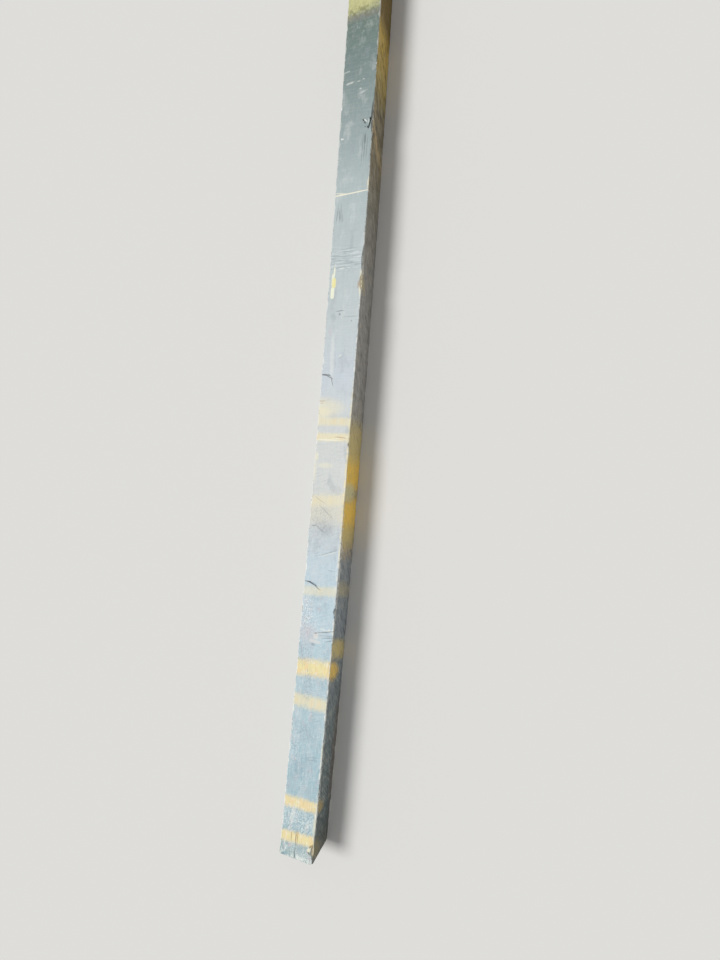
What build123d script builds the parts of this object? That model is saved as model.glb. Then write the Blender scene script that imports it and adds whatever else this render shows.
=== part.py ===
from build123d import *
import os
from math import sqrt

# A reclaimed square timber, lying flat with its painted show face up.
# X runs along the grain from the foot end to the head end, and the side face
# beside the show face looks towards -Y. The origin is under the middle of the
# timber's box. A place along the timber is measured from its foot, its middle
# or its head, and a place across it from the nearest arris.

# Stock: one rough-sawn length that has bowed sideways since it was cut.
length = 2438.0
width = 95.0
depth = 95.0
crook = 11.6
arris_radius = 2.2
end_bevel = 1.5

# Knot torn out of the side arris: a shallow hollow along the grain, the
# knot's own socket, two splits that meet in a point towards the foot with a
# tongue of wood between them, and a thin split that runs on towards the head.
# A reach is a distance in from the arris.
knot_from_head = 515.0
tear_past_knot = 22.0
tear_length = 100.0
tear_width = 6.0
tear_hollow = 1.4
socket_past_knot = 14.0
socket_reach = 7.5
socket_radius = 3.6
socket_bottom_radius = 1.5
socket_depth = 20.0
tongue_before_knot = 12.0
tongue_length = 27.0
tongue_point_reach = 14.0
tongue_inner_reach = 31.0
inner_split_width = 3.0
outer_split_width = 4.0
run_on_length = 46.0
run_on_reach = 4.5
run_on_width = 2.4
split_tip_width = 0.8
split_depth = 6.0

# Chips in the two upper arrises. Length runs along the arris, and the bite is
# measured square to it, halfway between the two faces.
foot_chip_from_foot = 34.0
foot_chip_length = 34.0
foot_chip_bite = 4.6
low_chip_from_foot = 640.0
low_chip_length = 20.0
low_chip_bite = 4.0
mid_chip_before_middle = 149.0
mid_chip_length = 17.0
mid_chip_bite = 3.6
bare_chip_past_middle = 279.0
bare_chip_length = 46.0
bare_chip_bite = 5.0
worn_chip_past_middle = 341.0
worn_chip_length = 88.0
worn_chip_bite = 3.6
far_low_chip_from_foot = 322.0
far_low_chip_length = 44.0
far_low_chip_bite = 2.8
far_mid_chip_from_foot = 634.0
far_mid_chip_length = 22.0
far_mid_chip_bite = 3.0

# Foot corner knocked off where the timber was dropped on its end.
corner_bite = 4.0
corner_ball_radius = 24.0

# Surface cracks. Each opens square to the far arris, runs straight for a
# little and then curls towards the foot until it closes.
low_crack_from_foot = 707.0
low_crack_straight = 8.0
low_crack_curl = 39.0
low_crack_drift = 17.0
mid_crack_past_middle = 35.0
mid_crack_straight = 14.0
mid_crack_curl = 21.0
mid_crack_drift = 24.0
crack_mouth = 2.2
crack_depth = 9.0

# Drying checks that run in from the ends, each from a face to the heart.
foot_check_from_arris = 44.0
foot_check_length = 62.0
foot_check_mouth = 1.4
head_check_height = 52.0
head_check_length = 92.0
head_check_mouth = 2.4

# Nail holes: two in the show face and two in the side face.
nail_radius = 1.8
nail_depth = 30.0
face_nail_past_middle = 196.0
face_nail_from_arris = 39.5
face_nail_spacing = 20.0
second_face_nail_from_arris = 19.0
side_nail_past_middle = 56.0
side_nail_spacing = 40.0
side_nail_below_face = 38.0

# How far a cutter stands out past the face that it goes into.
overrun = 3.0

foot = -length / 2
head = length / 2
far_side = 1
near_side = -1


def middle_line(x):
    """How far the bowed middle line lies to the +Y side at a place x along the timber."""
    return crook / 2 - crook * (1 - (2 * x / length) ** 2)


def arris(x, side):
    """Where the sharp arris of one side lies across the timber, at x."""
    return middle_line(x) + side * width / 2


def bowed_edge(side):
    """The long arc of one side, seen from above."""
    return ThreePointArc(
        (foot, arris(foot, side)),
        (0, arris(0, side)),
        (head, arris(head, side)),
    )


def sawn_stock():
    """The squared timber: bowed sides, bevelled ends and rounded arrises."""
    near = bowed_edge(near_side)
    far = bowed_edge(far_side)
    ends = Line(near @ 0, far @ 0) + Line(near @ 1, far @ 1)
    stock = extrude(make_face(near + far + ends), depth)
    faces = stock.faces().sort_by(Axis.X)
    stock = chamfer(faces[0].edges() + faces[-1].edges(), end_bevel)
    return fillet(stock.edges().filter_by(GeomType.CIRCLE), arris_radius)


def ball_bite(bite_length, bite):
    """Radius of the ball whose cap is bite_length across and bite deep."""
    return (bite_length ** 2 / 4 + bite ** 2) / (2 * bite)


def arris_chip(x, side, chip_length, bite):
    """A ball that takes one shallow scallop out of an upper arris."""
    radius = ball_bite(chip_length, bite)
    out = (radius - bite) / sqrt(2)
    return Pos(x, arris(x, side) + side * out, depth + out) * Sphere(radius)


def knocked_corner():
    """A ball that rounds off the foot corner of the show face and the side."""
    out = (corner_ball_radius - corner_bite) / sqrt(3)
    y = arris(foot, near_side) - out
    return Pos(foot - out, y, depth + out) * Sphere(corner_ball_radius)


def grain_tear(x):
    """A barrel along the arris whose belly leaves the hollow that the torn grain left.

    The belly cuts tear_width into both faces. It sinks tear_hollow below the
    straight line between them, and its ends fade out on the rounded arris.
    """
    half_chord = tear_width / sqrt(2)
    belly = ball_bite(2 * half_chord, tear_hollow)
    out = belly - tear_hollow - half_chord
    fade = out + arris_radius * (sqrt(2) - 1)
    half = tear_length / 2
    stave = ThreePointArc((-half, fade), (0, belly), (half, fade))
    heads = Line((-half, 0), stave @ 0) + Line(stave @ 1, (half, 0))
    barrel = revolve(make_face(stave + heads + Line((half, 0), (-half, 0))), Axis.X)
    shift = out / sqrt(2)
    return Pos(x, arris(x, near_side) - shift, depth + shift) * barrel


def sink(outline, cut_depth):
    """A flat outline, seen from above, cut straight down into the show face."""
    return Pos(0, 0, depth - cut_depth) * extrude(make_face(outline), cut_depth + overrun)


def knot_socket(x, reach):
    """The cone that the fallen knot left, from the show face in towards the heart."""
    past_mouth = overrun / socket_depth * (socket_radius - socket_bottom_radius)
    cone = Cone(socket_bottom_radius, socket_radius + past_mouth, socket_depth + overrun)
    inward = (socket_depth - overrun) / 2 / sqrt(2)
    place = Pos(x, arris(x, near_side) + reach + inward, depth - inward)
    return place * Rot(45, 0, 0) * cone


def split(start, end, start_width, end_width):
    """A straight split between two places, each given as (x, reach from the near arris)."""
    line = Line(
        (start[0], arris(start[0], near_side) + start[1]),
        (end[0], arris(end[0], near_side) + end[1]),
    )
    across = (line % 0).rotate(Axis.Z, 90)
    outline = Polyline(
        line @ 0 + across * start_width / 2,
        line @ 1 + across * end_width / 2,
        line @ 1 - across * end_width / 2,
        line @ 0 - across * start_width / 2,
        close=True,
    )
    return sink(outline, split_depth)


def torn_knot():
    """Everything that is missing where the knot broke out of the arris."""
    x = head - knot_from_head
    point = (x - tongue_before_knot, tongue_point_reach)
    inner_tip = (point[0] + tongue_length, tongue_inner_reach)
    socket = (x + socket_past_knot, socket_reach)
    run_on = (socket[0] + run_on_length, run_on_reach)
    return [
        grain_tear(x + tear_past_knot),
        knot_socket(*socket),
        split(point, inner_tip, inner_split_width, inner_split_width),
        split(point, socket, outer_split_width, outer_split_width),
        split(socket, run_on, run_on_width, split_tip_width),
    ]


def surface_crack(x, straight, curl, drift):
    """A sliver open at the far arris: a straight mouth, then two arcs that meet at the tip."""
    edge = arris(x, far_side)
    tip = (x - drift, edge - straight - curl)
    sides = []
    for wall in (x + crack_mouth / 2, x - crack_mouth / 2):
        mouth = Line((wall, edge + overrun), (wall, edge - straight))
        sides.append(mouth + TangentArc(mouth @ 1, tip, tangent=(0, -1)))
    closing = Line(
        (x + crack_mouth / 2, edge + overrun),
        (x - crack_mouth / 2, edge + overrun),
    )
    return sink(sides[0] + sides[1] + closing, crack_depth)


def check_outline(check_length, mouth):
    """A thin wedge, mouth wide where it crosses x = 0 and sharp at check_length."""
    wide = mouth / 2 * (1 + overrun / check_length)
    return Polyline((-overrun, wide), (check_length, 0), (-overrun, -wide), close=True)


def foot_check():
    """The check at the foot, from the show face down to the heart."""
    y = arris(foot, far_side) - foot_check_from_arris
    return Pos(foot, y) * sink(check_outline(foot_check_length, foot_check_mouth), depth / 2)


def head_check():
    """The check at the head, from the far side in to the heart."""
    wedge = extrude(make_face(check_outline(head_check_length, head_check_mouth)), width / 2 + overrun)
    place = Pos(head, arris(head, far_side) + overrun, head_check_height)
    return place * Rot(0, 180, 0) * Rot(90, 0, 0) * wedge


def face_nail_hole(x, y):
    """A nail hole square to the show face."""
    return Pos(x, y) * sink(Circle(nail_radius).edge(), nail_depth)


def side_nail_hole(x):
    """A nail hole square to the near side face."""
    hole = extrude(Circle(nail_radius), nail_depth + overrun)
    place = Pos(x, arris(x, near_side) - overrun, depth - side_nail_below_face)
    return place * Rot(-90, 0, 0) * hole


def make_beam():
    """The timber with everything that wear, drying and old nails took out of it."""
    cuts = torn_knot()
    cuts += [
        knocked_corner(),
        arris_chip(foot + foot_chip_from_foot, near_side, foot_chip_length, foot_chip_bite),
        arris_chip(foot + low_chip_from_foot, near_side, low_chip_length, low_chip_bite),
        arris_chip(-mid_chip_before_middle, near_side, mid_chip_length, mid_chip_bite),
        arris_chip(bare_chip_past_middle, near_side, bare_chip_length, bare_chip_bite),
        arris_chip(worn_chip_past_middle, near_side, worn_chip_length, worn_chip_bite),
        arris_chip(foot + far_low_chip_from_foot, far_side, far_low_chip_length, far_low_chip_bite),
        arris_chip(foot + far_mid_chip_from_foot, far_side, far_mid_chip_length, far_mid_chip_bite),
    ]
    low_crack = foot + low_crack_from_foot
    mid_crack = mid_crack_past_middle
    cuts += [
        surface_crack(low_crack, low_crack_straight, low_crack_curl, low_crack_drift),
        surface_crack(mid_crack, mid_crack_straight, mid_crack_curl, mid_crack_drift),
        foot_check(),
        head_check(),
    ]
    first_nail = face_nail_past_middle
    second_nail = face_nail_past_middle - face_nail_spacing
    cuts += [
        face_nail_hole(first_nail, arris(first_nail, far_side) - face_nail_from_arris),
        face_nail_hole(second_nail, arris(second_nail, near_side) + second_face_nail_from_arris),
        side_nail_hole(side_nail_past_middle),
        side_nail_hole(side_nail_past_middle + side_nail_spacing),
    ]
    beam = sawn_stock()
    for cut in cuts:
        beam -= cut
    return beam


os.makedirs("parts", exist_ok=True)
export_step(make_beam(), "parts/beam.step")
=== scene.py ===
"""A reclaimed square beam in worn blue-grey paint, with yellow bands and a torn knot.

Sizes are in millimetres until a mesh is written. A place on the beam's skin is
unrolled: s runs along the grain from the foot, and g round the girth. The far upper
arris is g = 0. From there g counts over the show face and down the near side to the
middle of the underside, and below 0 down the far side to that same middle.
"""
from math import atan2, cos, degrees, hypot, pi, radians, sin, sqrt

import bpy
import numpy as np
from mathutils import Matrix, Vector


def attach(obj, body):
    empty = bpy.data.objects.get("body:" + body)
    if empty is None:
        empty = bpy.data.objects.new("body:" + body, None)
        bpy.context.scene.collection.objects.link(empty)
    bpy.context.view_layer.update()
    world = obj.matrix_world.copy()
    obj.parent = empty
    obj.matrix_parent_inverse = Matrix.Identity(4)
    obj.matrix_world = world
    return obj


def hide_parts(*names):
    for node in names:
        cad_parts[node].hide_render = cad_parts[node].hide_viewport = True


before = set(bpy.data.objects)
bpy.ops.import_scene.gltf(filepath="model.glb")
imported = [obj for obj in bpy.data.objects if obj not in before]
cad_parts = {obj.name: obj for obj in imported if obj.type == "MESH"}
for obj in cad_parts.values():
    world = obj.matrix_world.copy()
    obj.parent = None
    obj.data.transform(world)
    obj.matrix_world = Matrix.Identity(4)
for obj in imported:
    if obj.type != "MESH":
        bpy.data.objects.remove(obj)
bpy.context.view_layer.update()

MM = 0.001

# The stock, as in the part's source.
length = 2438.0
width = 95.0
crook = 11.6
arris_radius = 2.2
end_bevel = 1.5
half = width / 2
girth = 4 * width
foot = -length / 2
head = length / 2

# The arrises on the girth, and where it is closed under the beam.
far_arris = 0.0
near_arris = 95.0
near_foot_arris = 190.0
girth_start = -1.5 * width
girth_end = 2.5 * width


def middle_line(x):
    """How far the bowed middle line lies to the +Y side at x: a parabola, crook deep."""
    return crook / 2 - crook * (1 - (2 * x / length) ** 2)


def smooth(low, high, value):
    """0 up to low, 1 from high on, and an even S between them."""
    t = np.clip((value - low) / (high - low), 0, 1)
    return t * t * (3 - 2 * t)


def rough(s, g, along, across, seed):
    """Seeded noise from -1 to 1: random heights on a lattice of along by across
    millimetres, blended between its corners by an even S, and closed round the girth."""
    rows = int(length / along) + 3
    columns = round(girth / across)
    heights = np.random.default_rng(seed).uniform(-1, 1, (rows, columns))
    u = s / along
    v = g / girth * columns
    i = np.floor(u).astype(int)
    j = np.floor(v).astype(int)
    fu = smooth(0, 1, u - i)
    fv = smooth(0, 1, v - j)
    low = heights[i % rows, j % columns] * (1 - fv) + heights[i % rows, (j + 1) % columns] * fv
    i = i + 1
    high = heights[i % rows, j % columns] * (1 - fv) + heights[i % rows, (j + 1) % columns] * fv
    return low * (1 - fu) + high * fu


def spaced(start, end, coarse, spots):
    """Places from start to end, coarse apart. In a spot (middle, reach, gap) they are
    only gap apart, and outside it the gap grows back by a quarter of the distance."""
    tick = 0.1
    ruler = np.arange(start, end + tick / 2, tick)
    gap = np.full(ruler.shape, coarse)
    for middle, reach, fine in spots:
        away = np.maximum(np.abs(ruler - middle) - reach, 0)
        gap = np.minimum(gap, fine + away / 4)
    count = np.concatenate(([0], np.cumsum(tick / gap[1:])))
    steps = max(round(count[-1]), 1)
    return np.interp(np.linspace(0, count[-1], steps + 1), count, ruler)


# Which side of the beam an upper arris is on.
near_side = -1
far_side = 1

# Chips in the upper arrises: (place along, side, length, bite).
painted_chips = [
    (640.0, near_side, 20.0, 4.0),
    (1560.0, near_side, 88.0, 3.6),
    (322.0, far_side, 44.0, 2.8),
    (634.0, far_side, 22.0, 3.0),
]
bare_chips = [
    (34.0, near_side, 34.0, 4.6),
    (1070.0, near_side, 17.0, 3.6),
    (1498.0, near_side, 46.0, 5.0),
]
# Cracks that open at the far arris: (place along, straight run, curl, drift to the foot).
cracks = [(707.0, 8.0, 39.0, 17.0), (1254.0, 14.0, 21.0, 24.0)]
# Nail holes, partly filled with paint: (place along, place round the girth, depth).
nails = [(1415.0, 39.5, 4.0), (1395.0, 76.0, 1.8), (1275.0, 133.0, 4.0), (1315.0, 133.0, 4.0)]
# Drying checks in from the two ends: (place round the girth, length, mouth).
foot_check = (44.0, 62.0, 1.4)
head_check = (-43.0, 92.0, 2.4)
check_depth = 40.0
# A crack or check narrower than this counts as this wide, so that no depth is endless.
least_opening = 0.01
# The middle of the grain torn out beside the knot, and where the saw chattered.
tear_place = 1945.0
chatter_start = 1534.0
chatter_end = 1588.0

# Places along and round the skin that its mesh has a row or a column for. The spots with
# finer gaps are (middle, reach, gap).
stations = spaced(0, length, 7.6, [
    (0, 2.5, 0.8),
    (30, 36, 3.0),
    (322, 22, 4.5),
    (637, 14, 2.5),
    (697, 14, 1.1),
    (1070, 8, 2.5),
    (1244, 14, 1.1),
    (1275, 2, 1.0),
    (1315, 2, 1.0),
    (1395, 2, 1.0),
    (1415, 2, 1.0),
    (1498, 23, 4.0),
    (1560, 30, 2.8),
    (1924, 17, 1.1),
    (1945, 48, 3.0),
    (length, 2.5, 0.8),
])
upper_arris_spots = [(far_arris, 3, 0.8), (near_arris, 3, 0.8)]
arris_spots = [(-width, 2, 1.6), *upper_arris_spots, (near_foot_arris, 2, 1.6)]
check_spots = [(head_check[0], 0.6, 0.7), (foot_check[0], 0.6, 0.5)]
hole_spots = [(39.5, 2, 0.9), (80, 14, 1.5), (133, 2, 0.9), (101, 4, 1.6)]
side_spots = arris_spots + check_spots
show_spots = side_spots + hole_spots
columns = np.concatenate([
    spaced(girth_start, -width, 9.0, arris_spots)[:-1],
    spaced(-width, head_check[0], 7.5, side_spots)[:-1],
    spaced(head_check[0], far_arris, 7.5, side_spots)[:-1],
    spaced(far_arris, foot_check[0], 3.6, show_spots)[:-1],
    spaced(foot_check[0], near_arris, 3.6, show_spots)[:-1],
    spaced(near_arris, near_foot_arris, 5.0, arris_spots + hole_spots)[:-1],
    spaced(near_foot_arris, girth_end, 9.0, arris_spots)[:-1],
])

# How far each ring of an end has shrunk towards its heart, from the heart outwards.
shrink = np.array([0.03, 0.12, 0.25, 0.4, 0.55, 0.7, 0.82, 0.91, 0.965, 0.99])[:, None]

# The gap between strips on the baked map, and the side of that square map.
map_gap = 6.0
map_side = 3 * girth + 4 * map_gap


def girth_point(g):
    """The place g round a sharp square section, as seen from the section's middle."""
    face = np.floor(g / width).astype(int) % 4
    along = g - width * np.floor(g / width) - half
    y = np.choose(face, [-along, np.full_like(g, -half), along, np.full_like(g, half)])
    z = np.choose(face, [np.full_like(g, half), -along, np.full_like(g, -half), along])
    return y, z


def worn_section(s, g):
    """Distance from the middle of the section to its skin, along the ray to each place
    of the girth: the flat of the square, or where a ray meets a corner's arc,
    d.c + sqrt((d.c)^2 - c.c + r^2). The arc's radius wanders with wear."""
    y, z = girth_point(g)
    flat = np.hypot(y, z)
    dy = np.abs(y) / flat
    dz = np.abs(z) / flat
    edge = np.round(g / width) * width
    wear = 0.6 * rough(s, edge, 46, width, 11) + 0.5 * rough(s, edge, 13, width, 12)
    nick = np.maximum(rough(s, edge, 11, width, 13) - 0.5, 0) * 8
    scuff = np.maximum(rough(s, edge, 38, width, 14) - 0.6, 0) * 6
    radius = np.clip(arris_radius - 0.4 + wear + nick + scuff, 1.1, 6.5)
    middle = half - radius
    along = (dy + dz) * middle
    arc = along + np.sqrt(np.maximum(along ** 2 - 2 * middle ** 2 + radius ** 2, 0))
    return np.where(np.minimum(np.abs(y), np.abs(z)) > middle, arc, flat + 0 * radius)


def ray_to_ball(s, g, place, side, out_y, out_z, radius):
    """Distance along each ray at which it meets a ball, or a barrel given by its radius
    at each station, that stands out past an upper arris: d.c - sqrt((d.c)^2 - c.c + r^2)."""
    y, z = girth_point(g)
    flat = np.hypot(y, z)
    x = s + foot
    cy = middle_line(place + foot) + side * (half + out_y) - middle_line(x)
    cz = half + out_z
    along = y / flat * cy + z / flat * cz
    under = along ** 2 - cy ** 2 - cz ** 2 + radius ** 2
    meets = (radius > 0) & (under > 0) & (along > 0)
    return np.where(meets, along - np.sqrt(np.maximum(under, 0)), np.inf)


def bite_radius(bite_length, bite):
    """Radius of the ball whose cap is bite_length across and bite deep."""
    return (bite_length ** 2 / 4 + bite ** 2) / (2 * bite)


def arris_chip(s, g, place, side, chip_length, bite):
    """A ball's shallow scallop out of an upper arris."""
    ball = bite_radius(chip_length, bite)
    out = (ball - bite) / sqrt(2)
    section = np.sqrt(np.maximum(ball ** 2 - (s - place) ** 2, 0))
    return ray_to_ball(s, g, place, side, out, out, section)


def knocked_corner(s, g):
    """A ball that rounds off the foot corner of the show face and the near side."""
    ball = 24.0
    bite = 4.0
    out = (ball - bite) / sqrt(3)
    section = np.sqrt(np.maximum(ball ** 2 - (s + out) ** 2, 0))
    return ray_to_ball(s, g, 0.0, near_side, out, out, section)


def grain_tear(s, g):
    """A barrel along the near arris, whose belly leaves the hollow of the torn grain."""
    tear_length = 100.0
    tear_width = 6.0
    hollow = 1.4
    half_chord = tear_width / sqrt(2)
    belly = bite_radius(2 * half_chord, hollow)
    out = belly - hollow - half_chord
    fade = out + arris_radius * (sqrt(2) - 1)
    stave = bite_radius(tear_length, belly - fade)
    off_middle = s - tear_place
    radius = belly - stave + np.sqrt(np.maximum(stave ** 2 - off_middle ** 2, 0))
    radius = np.where(np.abs(off_middle) < tear_length / 2, radius, 0)
    return ray_to_ball(s, g, tear_place, near_side, out / sqrt(2), out / sqrt(2), radius)


def split(s, g, start, end, start_width, end_width):
    """Depth of a straight split between two places (s, g): how far a place lies inside
    the split's two walls and two ends, turned into a depth by an even S."""
    split_depth = 4.5
    run = hypot(end[0] - start[0], end[1] - start[1])
    run_s = (end[0] - start[0]) / run
    run_g = (end[1] - start[1]) / run
    ahead = (s - start[0]) * run_s + (g - start[1]) * run_g
    off_line = np.abs((g - start[1]) * run_s - (s - start[0]) * run_g)
    part = np.clip(ahead / run, 0, 1)
    wall = (start_width + (end_width - start_width) * part) / 2
    inside = np.minimum(wall - off_line, np.minimum(ahead, run - ahead) + 0.5)
    return split_depth * smooth(-0.3, 0.9, inside) * (g < near_arris)


def torn_knot(s, g):
    """Depth of the knot's socket and of the splits that run from it. Two shreds of wood
    still bridge the inner split."""
    point = (1911.0, 84.0)
    inner_tip = (1938.0, 67.0)
    socket = (1937.0, 90.5)
    socket_depth = 6.5
    run_on_tip = (1981.0, 91.5)
    inner = split(s, g, point, inner_tip, 2.6, 3.2)
    shreds = smooth(4.6, 3.2, np.abs(s - 1921.0)) + smooth(1.7, 0.9, np.abs(s - 1931.5))
    inner = inner * (1 - 0.95 * shreds)
    outer = split(s, g, point, socket, 3.4, 3.6)
    run_on = 0.7 * split(s, g, socket, run_on_tip, 2.0, 0.9)
    off_socket = np.hypot(s - socket[0], (g - socket[1]) / sqrt(2))
    return np.maximum.reduce([inner, outer, run_on, socket_depth * smooth(4.0, 2.0, off_socket)])


def curling_crack(s, g, place, straight, curl, drift):
    """Depth of a crack open at the far arris. It runs straight in, then round an arc
    towards the foot, and its mouth narrows to nothing at the arc's end. On the far side
    it closes a little below the arris."""
    half_mouth = 1.1
    crack_depth = 8.0
    face_reach = 60.0
    side_reach = 9.0
    bend = (drift ** 2 + curl ** 2) / (2 * drift)
    end_turn = atan2(curl, bend - drift)
    ahead = s - (place - bend)
    beyond = g - straight
    turn = np.arctan2(beyond, ahead)
    off_arc = np.abs(np.hypot(ahead, beyond) - bend)
    off = np.where(beyond > 0, off_arc, np.abs(s - place))
    opening = np.where(beyond > 0, half_mouth * (1 - turn / end_turn), half_mouth)
    on_face = (g >= 0) & (g < face_reach) & ((beyond <= 0) | (turn < end_turn))
    on_side = (g < 0) & (g > -side_reach)
    opening = np.where(on_side, half_mouth * (g + side_reach) / side_reach, opening)
    off = np.where(on_side, np.abs(s - place), off)
    depth = crack_depth * (1 - off / np.maximum(opening, least_opening))
    return np.where((on_face | on_side) & (opening > 0), np.maximum(depth, 0), 0)


def end_check(s_from_end, g, middle, check_length, mouth):
    """Depth of a drying check: a wedge, mouth wide at the end and shut at check_length."""
    opening = mouth / 2 * (1 - s_from_end / check_length)
    closed = s_from_end > check_length
    depth = check_depth * (1 - np.abs(g - middle) / np.maximum(opening, least_opening))
    return np.where(closed, 0, np.maximum(depth, 0))


def nail_hole(s, g, place, round_girth, depth):
    """Depth of a nail hole: full inside its floor, and none outside its rim."""
    rim = 2.3
    floor = 1.2
    return depth * smooth(rim, floor, np.hypot(s - place, g - round_girth))


def saw_marks(s, g):
    """Ridges that the saw left square across the show face where it chattered, and the
    faint wave of its kerf all along the beam. Both are cosines of the place along."""
    chatter_pitch = 11.5
    kerf_pitch = 22.0
    on_face = smooth(far_arris, far_arris + 3, g) * smooth(near_arris, near_arris - 3, g)
    started = smooth(chatter_start - 6, chatter_start + 6, s)
    zone = started * smooth(chatter_end + 4, chatter_end - 4, s)
    slant = s + 0.05 * g + 2 * rough(s, g, 60, 38, 21)
    ridges = 0.5 - 0.5 * np.cos(slant * 2 * pi / chatter_pitch)
    kerf = 0.5 - 0.5 * np.cos((s + 0.03 * g) * 2 * pi / kerf_pitch)
    return on_face * zone * 0.35 * ridges + 0.07 * kerf


def skin_depths(s, g):
    """Distance to the skin on every ray, and how far each place is torn, bare or dark."""
    whole = worn_section(s, g)
    painted_over = [arris_chip(s, g, *chip) for chip in painted_chips]
    painted_over = np.minimum.reduce([knocked_corner(s, g), grain_tear(s, g), *painted_over])
    newly_bare = np.minimum.reduce([arris_chip(s, g, *chip) for chip in bare_chips])
    bare = smooth(0.2, 1.0, whole - newly_bare)
    torn = np.maximum(smooth(0.2, 1.0, whole - painted_over), bare)
    splinters = 0.5 + 0.5 * rough(s, g, 23, 1.9, 31)
    steps = 0.5 + 0.5 * rough(s, g, 7, 4, 32)
    chipped = np.minimum.reduce([whole, painted_over, newly_bare])
    chipped = chipped - torn * (0.9 * splinters + 0.6 * steps)
    sunk = torn_knot(s, g) + end_check(length - s, g, *head_check)
    sunk = sunk + sum(curling_crack(s, g, *crack) for crack in cracks)
    painted = end_check(s, g, *foot_check) + sum(nail_hole(s, g, *nail) for nail in nails)
    # How dark each place is painted by the depth of its crack, split, check or hole: painted
    # shade.
    dark = smooth(1.2, 4.2, sunk) + 0.35 * smooth(0.5, 4.0, painted)
    grain = 0.11 * (1 + rough(s, g, 240, 3.4, 41)) + 0.08 * (1 + rough(s, g, 70, 6.5, 42))
    bruises = 0.16 * (1 + rough(s, g, 38, 19, 43)) + 0.10 * (1 + rough(s, g, 15, 11, 44))
    reach = chipped - grain - bruises - saw_marks(s, g) - sunk - painted
    return reach, torn, bare, dark


def beam_grid():
    """The whole skin as rings from the heart of the foot end to the heart of the head
    end. A body ring takes its rays' distances. On an end the same rings shrink to the
    middle, set in by the bevel and roughened by the saw."""
    s = stations[:, None]
    g = columns[None, :]
    reach, torn, bare, dark = skin_depths(s, g)
    y, z = girth_point(columns)
    flat = np.hypot(y, z)
    dy, dz = y / flat, z / flat
    bevel = end_bevel * smooth(1.6, 0, np.minimum(s, length - s)) * flat / half
    reach = reach - bevel
    end_saw = 0.35 * (1 + rough(s[:1] + 60 * shrink, g, 9, 9, 51))
    foot_end = shrink * reach[0]
    head_end = shrink[::-1] * reach[-1]
    reach = np.vstack([foot_end, reach, head_end])
    body = np.broadcast_to(s, (len(stations), len(columns)))
    along = np.vstack([end_saw, body, length - end_saw[::-1]])
    inward = (1 - shrink) * half
    unrolled = np.vstack([-inward + 0 * g, body, length + inward[::-1] + 0 * g])
    blank = np.zeros((len(shrink), len(columns)))
    fields = {
        "torn": np.vstack([blank, torn, blank]),
        "bare": np.vstack([blank, bare, blank]),
        "dark": np.vstack([blank + dark[0], dark, blank + dark[-1]]),
        "end": np.vstack([blank + 1, np.zeros(body.shape), blank + 1]),
    }
    x = along + foot
    place = np.stack([x, middle_line(x) + reach * dy, half + reach * dz], -1)
    return place, unrolled, fields


def strip_places(s, g, strip):
    """Where the skin goes on the square map that its finish is baked to. The length is
    cut in three, and the strips lie side by side with a gap between them."""
    u = s - strip * length / 3 + map_gap
    v = g - girth_start + strip * (girth + map_gap) + map_gap
    return np.stack([u / map_side, v / map_side], -1)


def end_places(place, row):
    """Where the two ends go on that map: as squares, past the strips' ends."""
    at_head = row > len(shrink) + 2
    u = place[..., 1] - middle_line(place[..., 0]) + length / 3 + 5 * map_gap + half
    v = place[..., 2] + 2 * map_gap + at_head * (width + 4 * map_gap)
    return np.stack([u / map_side, v / map_side], -1)


def quad_corners(grid, closing):
    """The four corners of every quad, from a grid of places and its closing column."""
    closed = np.concatenate([grid, closing[:, None]], 1)
    corners = [closed[:-1, :-1], closed[:-1, 1:], closed[1:, 1:], closed[1:, :-1]]
    return np.stack(corners, 2)


def fan_corners(ring, closing, heart, turned):
    """The three corners of each triangle between an end's last ring and its heart."""
    closed = np.concatenate([ring, closing[None]], 0)
    hearts = np.broadcast_to(heart, ring.shape)
    rim = [closed[:-1], closed[1:]] if turned else [closed[1:], closed[:-1]]
    return np.stack([hearts, *rim], 1)


def skin_corners(grid, closing, hearts):
    """The corners of the quads between the rings, of the foot's fan and of the head's."""
    foot_fan = fan_corners(grid[0], closing[0], hearts[0], False)
    head_fan = fan_corners(grid[-1], closing[-1], hearts[1], True)
    return [quad_corners(grid, closing), foot_fan, head_fan]


def skin_maps(place, unrolled):
    """The unrolled map in metres, and the map that the finish is baked to."""
    rows = len(place)
    g = np.broadcast_to(columns, unrolled.shape)
    skin = np.stack([unrolled, g], -1) * MM
    closing = np.stack([unrolled[:, 0], np.full(rows, girth_end)], -1) * MM
    hearts = np.array([[-half, 0.0], [length + half, 0.0]]) * MM
    flat = skin_corners(skin, closing, hearts)
    row = np.arange(rows)[:, None]
    ends = end_places(place, row)
    heart_places = np.array([
        [[foot, middle_line(foot), half]],
        [[head, middle_line(head), half]],
    ])
    end_hearts = end_places(heart_places, np.array([[0], [rows]]))[:, 0]
    end_quads, *fans = skin_corners(ends, ends[:, 0], end_hearts)
    body_s = quad_corners(unrolled, unrolled[:, 0])
    body_g = quad_corners(g, np.full(rows, girth_end))
    strip = np.clip(np.floor(body_s.mean(2) / (length / 3)), 0, 2)
    strips = strip_places(body_s, body_g, strip[..., None])
    on_end = (row[:-1] < len(shrink)) | (row[:-1] >= rows - len(shrink) - 1)
    baked = [np.where(on_end[..., None, None], end_quads, strips), *fans]
    return {
        "unrolled": np.vstack([corners.reshape(-1, 2) for corners in flat]),
        "OFBake": np.vstack([corners.reshape(-1, 2) for corners in baked]),
    }


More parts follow.
